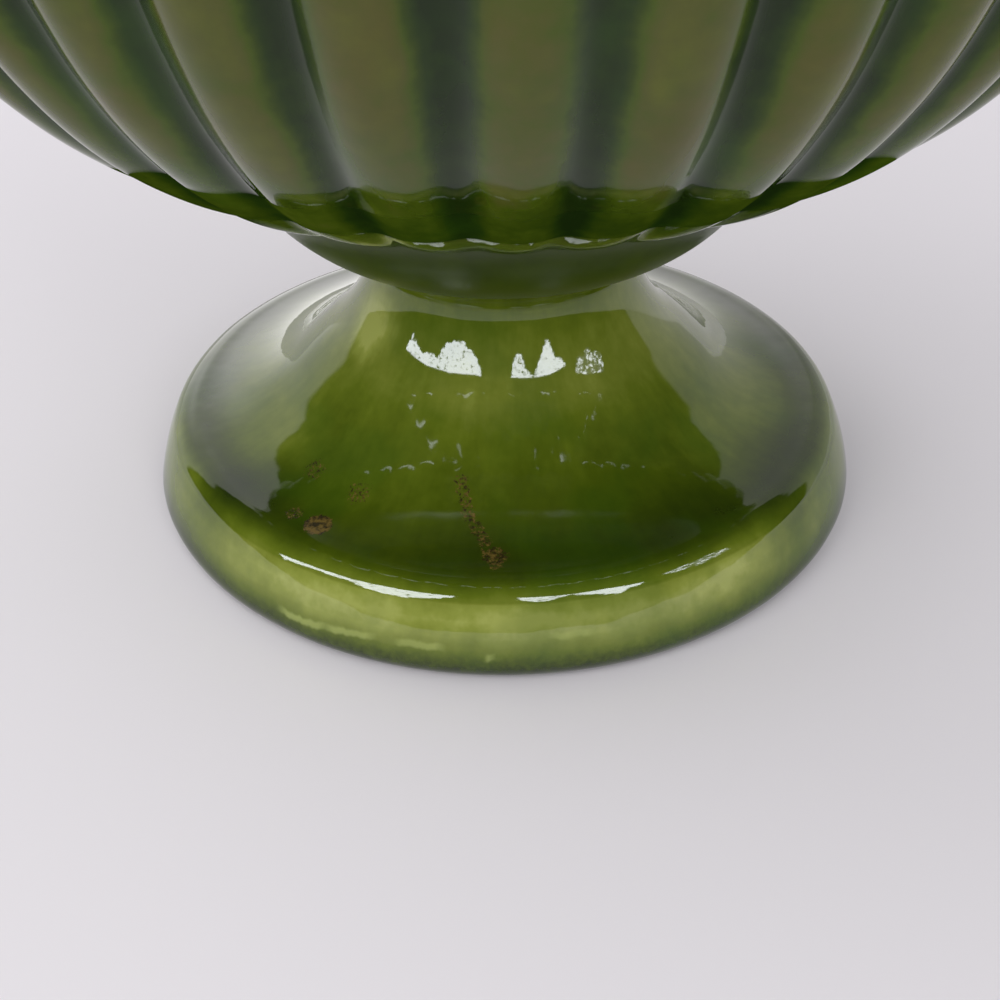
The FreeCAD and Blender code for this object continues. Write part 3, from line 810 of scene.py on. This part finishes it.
def sheet_share(make, turn, height):
    """1 where the pale sheet behind the vase is mirrored."""
    left = make.math("ADD", turn, make.curve(height, SHEET_LEFT))
    right = make.math("SUBTRACT", turn, make.curve(height, SHEET_RIGHT))
    sheet = make.math("ADD", make.ramp(left, -SHEET_END_SOFT, SHEET_END_SOFT, 1.0, 0.0),
                      make.ramp(right, -SHEET_END_SOFT, SHEET_END_SOFT))
    low = make.ramp(height, SHEET_HIGH - SHEET_HIGH_SOFT, SHEET_HIGH + SHEET_HIGH_SOFT, 1.0, 0.0)
    return make.math("MULTIPLY", sheet, low)


def sheet_light(make, turn, height):
    pale = make.mix(make.ramp(turn, *SHEET_DIMS), SHEET_LIT, SHEET_DIM)
    more = make.math("ADD", make.ramp(turn, *BRIGHTER_LEFT, BRIGHTER, 0.0),
                     make.ramp(turn, *BRIGHTER_RIGHT, 0.0, BRIGHTER))
    more = make.math("MULTIPLY", more, make.ramp(height, *BRIGHTER_LOW, 1.0, 0.0))
    return make.scaled(pale, make.math("ADD", more, 1.0))


def room_world():
    world = bpy.data.worlds.new("room")
    bpy.context.scene.world = world
    world.use_nodes = True
    tree = world.node_tree
    tree.nodes.clear()
    make = Maker(tree)
    way = tree.nodes.new("ShaderNodeTexCoord").outputs["Generated"]
    x, y, z = make.split(way)
    in_degrees = math.degrees(1)
    turn = make.math("MULTIPLY", make.math("ARCTAN2", x, make.math("MULTIPLY", y, -1.0)), in_degrees)
    height = make.math("MULTIPLY", make.math("ARCSINE", z), in_degrees)

    room = make.mix(sheet_share(make, turn, height), ROOM_DARK, sheet_light(make, turn, height))
    room = make.mix(window_share(make, way, turn, height), room, WINDOW_LIGHT)
    rays = tree.nodes.new("ShaderNodeLightPath")
    soft = make.mix(rays.outputs["Is Glossy Ray"], SOFT_LIGHT, room)
    seen = make.mix(rays.outputs["Is Camera Ray"], soft, BACKGROUND)
    background = tree.nodes.new("ShaderNodeBackground")
    make.put(background.inputs["Color"], seen)
    output = tree.nodes.new("ShaderNodeOutputWorld")
    tree.links.new(background.outputs[0], output.inputs["Surface"])


room_world()

# Lamps: bearing and height in degrees, width in metres and power in watts, all at one distance
LAMP_DISTANCE = 6
LAMPS = (
    ("window_left", -48, 36, 3.2, 83),
    ("window_right", 24, 32, 2.3, 59),
    ("room_left", -125, 42, 5, 83),
)


def lamp(name, bearing_degrees, height_degrees, width, power):
    """A soft square lamp that shines at the vase and is not mirrored in its glaze."""
    data = bpy.data.lights.new(name, "AREA")
    data.size = width
    data.energy = power
    thing = bpy.data.objects.new(name, data)
    turn = math.radians(bearing_degrees)
    rise = math.radians(height_degrees)
    way = Vector((math.sin(turn) * math.cos(rise), -math.cos(turn) * math.cos(rise), math.sin(rise)))
    thing.location = way * LAMP_DISTANCE
    thing.rotation_euler = way.to_track_quat("Z", "Y").to_euler()
    thing.visible_glossy = False
    bpy.context.scene.collection.objects.link(thing)


for one_lamp in LAMPS:
    lamp(*one_lamp)

# The camera stands where the photo was taken, in metres, with its lens and sensor in millimetres
CAMERA_PLACE = Vector((-0.0055391, -0.20815582, 0.14237212))
CAMERA_DOWN = math.radians(36.3386)
CAMERA_TURN = math.radians(1.2746)
CAMERA_ROLL = math.radians(-0.6355)
CAMERA_LENS = 50.4
CAMERA_SENSOR = 36
CAMERA_NEAR = 0.01

ahead = Vector((math.sin(CAMERA_TURN) * math.cos(CAMERA_DOWN),
                math.cos(CAMERA_TURN) * math.cos(CAMERA_DOWN),
                -math.sin(CAMERA_DOWN)))
level_right = Vector((math.cos(CAMERA_TURN), -math.sin(CAMERA_TURN), 0))
level_up = level_right.cross(ahead)
right = math.cos(CAMERA_ROLL) * level_right + math.sin(CAMERA_ROLL) * level_up
up = -math.sin(CAMERA_ROLL) * level_right + math.cos(CAMERA_ROLL) * level_up
camera_data = bpy.data.cameras.new("camera")
camera_data.lens = CAMERA_LENS
camera_data.sensor_width = CAMERA_SENSOR
camera_data.clip_start = CAMERA_NEAR
camera = bpy.data.objects.new("camera", camera_data)
camera.matrix_world = Matrix.Translation(CAMERA_PLACE) @ Matrix((right, up, -ahead)).transposed().to_4x4()
bpy.context.scene.collection.objects.link(camera)
bpy.context.scene.camera = camera
bpy.context.scene.view_settings.view_transform = "Standard"
